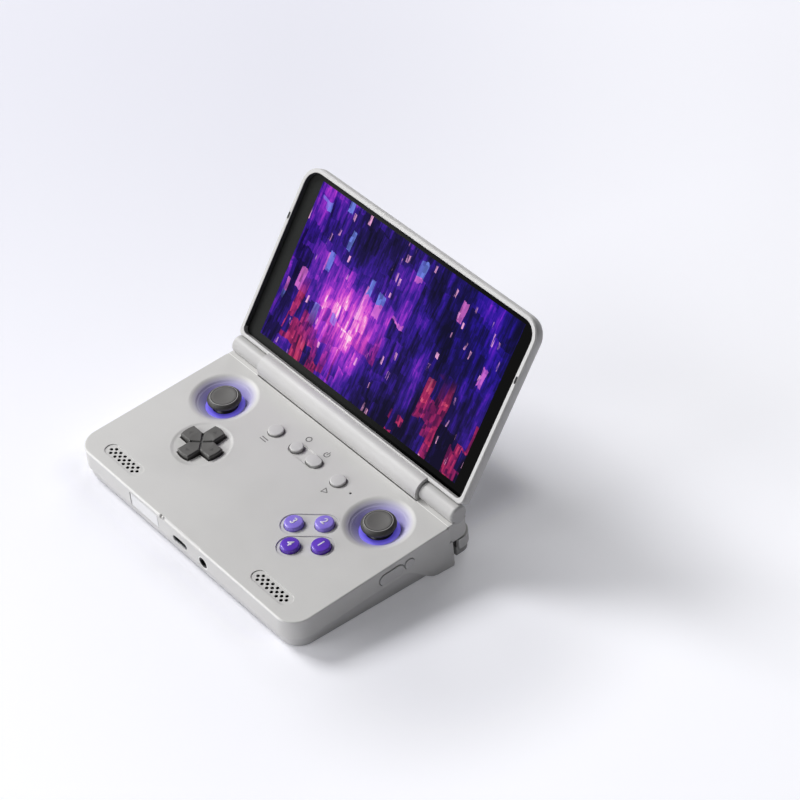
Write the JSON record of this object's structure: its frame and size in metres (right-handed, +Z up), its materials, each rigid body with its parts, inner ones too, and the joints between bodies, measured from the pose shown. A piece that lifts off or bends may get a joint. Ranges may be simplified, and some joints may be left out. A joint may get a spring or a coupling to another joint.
{
  "type": "clamshell handheld game console",
  "caption": "Clamshell handheld game console with hinged screen lid, thumb sticks, direction pad, action buttons, menu keys, shoulder keys, triggers and a wedge-shaped base.",
  "frame": {"origin": "on the floor under the middle of the whole console as drawn with its lid open", "axes": "+Z up from the floor, +X to the player's right along the hinge, -Y towards the player"},
  "size_m": [0.1403, 0.1245, 0.0963],
  "materials": {
    "shell": "fine satin texture",
    "shell_low": "fine satin texture",
    "rim": "fine satin texture",
    "key_grey": "satin",
    "flap": "satin",
    "dark_plastic": "satin",
    "dpad_grey": "satin",
    "stick_black": "moulded",
    "stem_black": "satin",
    "violet_light": "frosted, lit from below",
    "violet_pale": "glossy",
    "violet_deep": "glossy",
    "trigger_grey": "satin",
    "board": "solder mask",
    "battery_wrap": "shrink film",
    "copper": "bright",
    "steel": "plain",
    "screw_black": "blackened",
    "magnet": "plated",
    "membrane": "matt",
    "foot_rubber": "matt",
    "gasket": "matt",
    "glass": "polished black backed",
    "panel": "display, lit",
    "lens": "small lens",
    "flex": "film",
    "sleeve": "plain"
  },
  "bodies": {
    "base": {"base_top_shell": "shell", "base_bottom_shell": "shell_low", "hinge_end_caps": "shell", "hinge_sleeves": "sleeve", "main_board": "board", "battery": "battery_wrap", "heat_sink": "copper", "fan_housing": "dark_plastic", "speakers": "dark_plastic", "usb_port": "steel", "audio_jack": "dark_plastic", "card_reader": "steel", "strap_bar": "steel", "rubber_feet": "foot_rubber", "case_screws": "screw_black", "stick_module_left": "dark_plastic", "stick_module_right": "dark_plastic", "light_ring_left": "violet_light", "light_ring_right": "violet_light", "dpad_bracket": "dark_plastic", "button_membranes": "membrane", "trigger_springs": "steel", "trigger_pins": "steel", "status_lens": "lens", "display_flex": "flex", "base_magnets": "magnet", "rumble_motor": "steel"},
    "lid": {"lid_back_cover": "shell", "lid_front_frame": "rim", "lid_barrel": "shell", "screen_gasket": "gasket", "cover_glass": "glass", "display_panel": "panel", "lid_bumpers": "gasket", "lid_magnets": "magnet", "hinge_shafts": "steel"},
    "fan_rotor_body": {"fan_rotor": "dark_plastic"},
    "card_flap_body": {"card_flap": "flap"},
    "stick_yoke_left_body": {"stick_yoke_left": "steel"},
    "stick_stem_left_body": {"stick_stem_left": "stem_black"},
    "stick_cap_left_body": {"stick_cap_left": "stick_black"},
    "stick_yoke_right_body": {"stick_yoke_right": "steel"},
    "stick_stem_right_body": {"stick_stem_right": "stem_black"},
    "stick_cap_right_body": {"stick_cap_right": "stick_black"},
    "dpad_carrier_body": {"dpad_carrier": "dark_plastic"},
    "dpad_body": {"dpad": "dpad_grey"},
    "face_button_left_body": {"face_button_left": "violet_pale"},
    "face_button_rear_body": {"face_button_rear": "violet_pale"},
    "face_button_front_body": {"face_button_front": "violet_deep"},
    "face_button_right_body": {"face_button_right": "violet_deep"},
    "select_key_body": {"select_key": "key_grey"},
    "home_key_body": {"home_key": "key_grey"},
    "power_key_body": {"power_key": "key_grey"},
    "start_key_body": {"start_key": "key_grey"},
    "volume_rocker_body": {"volume_rocker": "key_grey"},
    "side_key_body": {"side_key": "key_grey"},
    "shoulder_left_body": {"shoulder_left": "shell"},
    "shoulder_right_body": {"shoulder_right": "shell"},
    "trigger_left_body": {"trigger_left": "trigger_grey"},
    "trigger_right_body": {"trigger_right": "trigger_grey"}
  },
  "joints": [
    {"name": "lid_hinge", "type": "hinge", "parent": "base", "child": "lid", "pos_m": [0, 0.01871, 0.0245], "axis": [-1, 0, 0], "range_deg": [-125.5, 53]},
    {"name": "stick_tilt_x_left", "type": "hinge", "parent": "base", "child": "stick_yoke_left_body", "pos_m": [-0.0492, -0.0032, 0.01098], "axis": [1, 0, 0], "range_deg": [-9, 9], "stiffness_Nm_per_rad": 0.03},
    {"name": "stick_tilt_y_left", "type": "hinge", "parent": "stick_yoke_left_body", "child": "stick_stem_left_body", "pos_m": [-0.0492, -0.0032, 0.01098], "axis": [0, 0.9954, 0.0958], "range_deg": [-9, 9], "stiffness_Nm_per_rad": 0.03},
    {"name": "stick_click_left", "type": "slide", "parent": "stick_stem_left_body", "child": "stick_cap_left_body", "axis": [0, 0.0958, -0.9954], "range_m": [0, 0.0003], "stiffness_N_per_m": 4000, "springref_m": -0.0003},
    {"name": "stick_tilt_x_right", "type": "hinge", "parent": "base", "child": "stick_yoke_right_body", "pos_m": [0.0492, -0.0032, 0.01098], "axis": [1, 0, 0], "range_deg": [-9, 9], "stiffness_Nm_per_rad": 0.03},
    {"name": "stick_tilt_y_right", "type": "hinge", "parent": "stick_yoke_right_body", "child": "stick_stem_right_body", "pos_m": [0.0492, -0.0032, 0.01098], "axis": [0, 0.9954, 0.0958], "range_deg": [-9, 9], "stiffness_Nm_per_rad": 0.03},
    {"name": "stick_click_right", "type": "slide", "parent": "stick_stem_right_body", "child": "stick_cap_right_body", "axis": [0, 0.0958, -0.9954], "range_m": [0, 0.0003], "stiffness_N_per_m": 4000, "springref_m": -0.0003},
    {"name": "dpad_rock_x", "type": "hinge", "parent": "base", "child": "dpad_carrier_body", "pos_m": [-0.0334, -0.02638, 0.01277], "axis": [1, 0, 0], "range_deg": [-4, 4], "stiffness_Nm_per_rad": 0.12},
    {"name": "dpad_rock_y", "type": "hinge", "parent": "dpad_carrier_body", "child": "dpad_body", "pos_m": [-0.0334, -0.02638, 0.01277], "axis": [0, 0.9954, 0.0958], "range_deg": [-4, 4], "stiffness_Nm_per_rad": 0.12},
    {"name": "face_press_left", "type": "slide", "parent": "base", "child": "face_button_left_body", "axis": [0, 0.0958, -0.9954], "range_m": [0, 0.0012], "stiffness_N_per_m": 400, "springref_m": -0.0006},
    {"name": "face_press_rear", "type": "slide", "parent": "base", "child": "face_button_rear_body", "axis": [0, 0.0958, -0.9954], "range_m": [0, 0.0012], "stiffness_N_per_m": 400, "springref_m": -0.0006},
    {"name": "face_press_front", "type": "slide", "parent": "base", "child": "face_button_front_body", "axis": [0, 0.0958, -0.9954], "range_m": [0, 0.0012], "stiffness_N_per_m": 400, "springref_m": -0.0006},
    {"name": "face_press_right", "type": "slide", "parent": "base", "child": "face_button_right_body", "axis": [0, 0.0958, -0.9954], "range_m": [0, 0.0012], "stiffness_N_per_m": 400, "springref_m": -0.0006},
    {"name": "select_press", "type": "slide", "parent": "base", "child": "select_key_body", "axis": [0, 0.0958, -0.9954], "range_m": [0, 0.0006], "stiffness_N_per_m": 700, "springref_m": -0.0004},
    {"name": "home_press", "type": "slide", "parent": "base", "child": "home_key_body", "axis": [0, 0.0958, -0.9954], "range_m": [0, 0.0006], "stiffness_N_per_m": 700, "springref_m": -0.0004},
    {"name": "power_press", "type": "slide", "parent": "base", "child": "power_key_body", "axis": [0, 0.0958, -0.9954], "range_m": [0, 0.0006], "stiffness_N_per_m": 700, "springref_m": -0.0004},
    {"name": "start_press", "type": "slide", "parent": "base", "child": "start_key_body", "axis": [0, 0.0958, -0.9954], "range_m": [0, 0.0006], "stiffness_N_per_m": 700, "springref_m": -0.0004},
    {"name": "volume_rock", "type": "hinge", "parent": "base", "child": "volume_rocker_body", "pos_m": [0.0664, -0.01473, 0.01389], "axis": [0, -0.0958, 0.9954], "range_deg": [-2, 2], "stiffness_Nm_per_rad": 0.15},
    {"name": "side_key_press", "type": "slide", "parent": "base", "child": "side_key_body", "axis": [-1, 0, 0], "range_m": [0, 0.0005], "stiffness_N_per_m": 900, "springref_m": -0.0003},
    {"name": "shoulder_press_left", "type": "hinge", "parent": "base", "child": "shoulder_left_body", "pos_m": [-0.0505, 0.02197, 0.01039], "axis": [0, -0.0958, 0.9954], "range_deg": [0, 4.5], "stiffness_Nm_per_rad": 0.35, "springref_deg": -3.44},
    {"name": "trigger_pull_left", "type": "hinge", "parent": "base", "child": "trigger_left_body", "pos_m": [-0.0505, 0.02197, 0.01039], "axis": [0, -0.0958, 0.9954], "range_deg": [0, 8], "stiffness_Nm_per_rad": 0.25, "springref_deg": -5.73},
    {"name": "shoulder_press_right", "type": "hinge", "parent": "base", "child": "shoulder_right_body", "pos_m": [0.0505, 0.02197, 0.01039], "axis": [0, 0.0958, -0.9954], "range_deg": [0, 4.5], "stiffness_Nm_per_rad": 0.35, "springref_deg": -3.44},
    {"name": "trigger_pull_right", "type": "hinge", "parent": "base", "child": "trigger_right_body", "pos_m": [0.0505, 0.02197, 0.01039], "axis": [0, 0.0958, -0.9954], "range_deg": [0, 8], "stiffness_Nm_per_rad": 0.25, "springref_deg": -5.73},
    {"name": "card_flap_hinge", "type": "hinge", "parent": "base", "child": "card_flap_body", "pos_m": [-0.0329, -0.06127, 0.00891], "axis": [0, 0.0958, -0.9954], "range_deg": [0, 90]},
    {"name": "fan_spin", "type": "hinge", "parent": "base", "child": "fan_rotor_body", "pos_m": [0.02, -0.01097, 0.0036], "axis": [0, 0, 1], "continuous": true}
  ]
}
